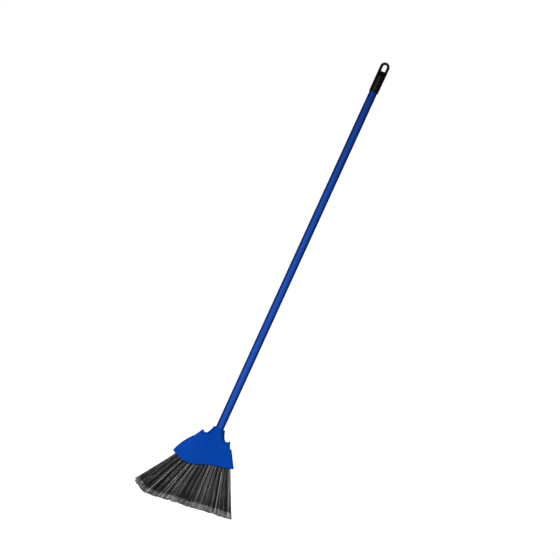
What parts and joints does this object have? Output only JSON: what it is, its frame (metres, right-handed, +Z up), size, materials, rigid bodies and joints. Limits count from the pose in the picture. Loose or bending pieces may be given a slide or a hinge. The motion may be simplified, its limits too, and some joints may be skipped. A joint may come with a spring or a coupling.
{
  "type": "angle broom",
  "caption": "Indoor angle broom: slanted fan of flagged bristles in a moulded shroud, on a long coated metal handle that screws out, with a hanging cap.",
  "frame": {"origin": "the point where the handle's axis meets the slanted sweeping face of the bristles", "axes": "+Z up along the handle towards the hanging cap, +X towards the short, high side of the fan, -Y the front"},
  "size_m": [0.2791, 0.0686, 1.3086],
  "materials": {
    "cap_plastic": "black moulded, satin",
    "coat_plastic": "blue plastic film, smooth",
    "tube_steel": "plain cold-rolled tube",
    "tip_plastic": "dark nylon, moulded",
    "shroud_plastic": "blue moulded, satin",
    "block_plastic": "dark moulded, plain",
    "bristle_plastic": "grey synthetic fibre, flagged tips",
    "anchor_steel": "flat wire staples"
  },
  "bodies": {
    "hanger": {"hanger_cap": "cap_plastic"},
    "handle": {"handle_coat": "coat_plastic", "handle_tube": "tube_steel", "threaded_tip": "tip_plastic"},
    "head": {"head_shroud": "shroud_plastic", "tuft_block": "block_plastic", "tufts_row_1": "bristle_plastic", "tufts_row_2": "bristle_plastic", "tufts_row_3": "bristle_plastic", "tufts_row_4": "bristle_plastic", "tufts_row_5": "bristle_plastic", "tuft_anchors_row_1": "anchor_steel", "tuft_anchors_row_2": "anchor_steel", "tuft_anchors_row_3": "anchor_steel", "tuft_anchors_row_4": "anchor_steel", "tuft_anchors_row_5": "anchor_steel"}
  },
  "joints": [
    {"name": "handle_turn", "type": "hinge", "parent": "hanger", "child": "handle", "pos_m": [0, 0, 1.2085], "axis": [0, 0, 1], "range_deg": [0, 1980]},
    {"name": "head_travel", "type": "slide", "parent": "hanger", "child": "head", "axis": [0, 0, -1], "range_m": [0, 0.02794]}
  ],
  "couplings": [
    {"joint": "handle_turn", "follows": "head_travel", "rad_per_m": 1236.8}
  ]
}
